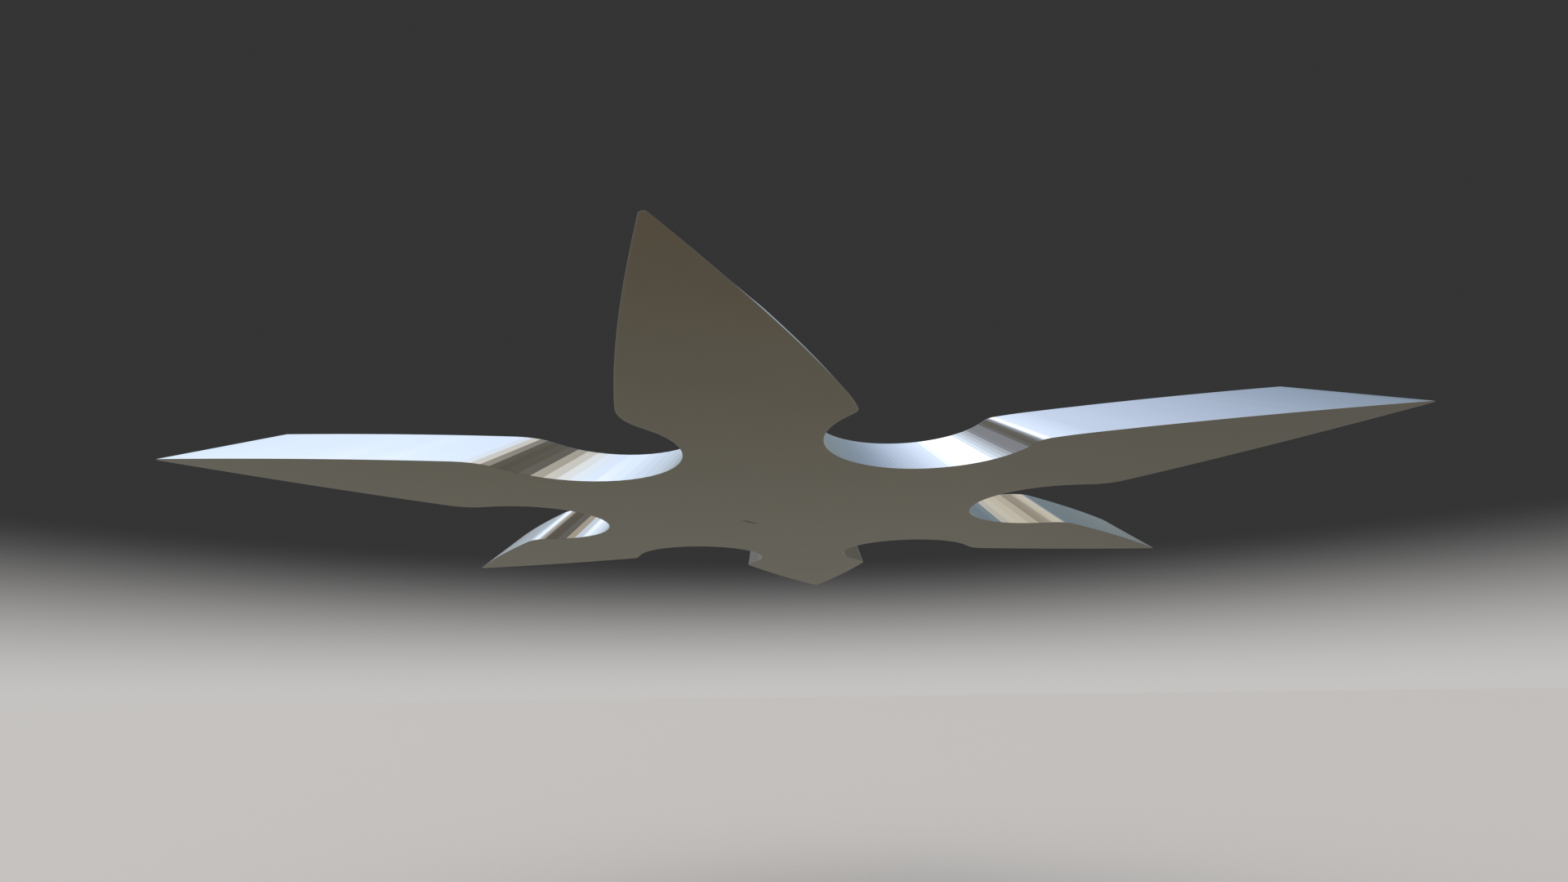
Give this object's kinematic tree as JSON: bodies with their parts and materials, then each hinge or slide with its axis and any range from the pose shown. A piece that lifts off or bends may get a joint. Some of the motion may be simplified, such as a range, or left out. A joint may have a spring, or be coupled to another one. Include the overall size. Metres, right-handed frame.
{
  "type": "throwing star",
  "caption": "Flat star-shaped steel throwing plate with barbed pointed arms, sloping ground walls and a flush disc closing its centre hole.",
  "frame": {"origin": "centre of the star on its large face, which is the bottom of the part", "axes": "+Z from the large face to the small face, +Y along one arm to its tip, +X across that arm"},
  "size_m": [0.0866, 0.1, 0.0029],
  "materials": {
    "ground_steel": "ground and satin, with lighter sloping walls",
    "disc_steel": "satin, flush with the plate"
  },
  "bodies": {
    "root": {"star_plate": "ground_steel", "centre_disc": "disc_steel"}
  },
  "joints": []
}
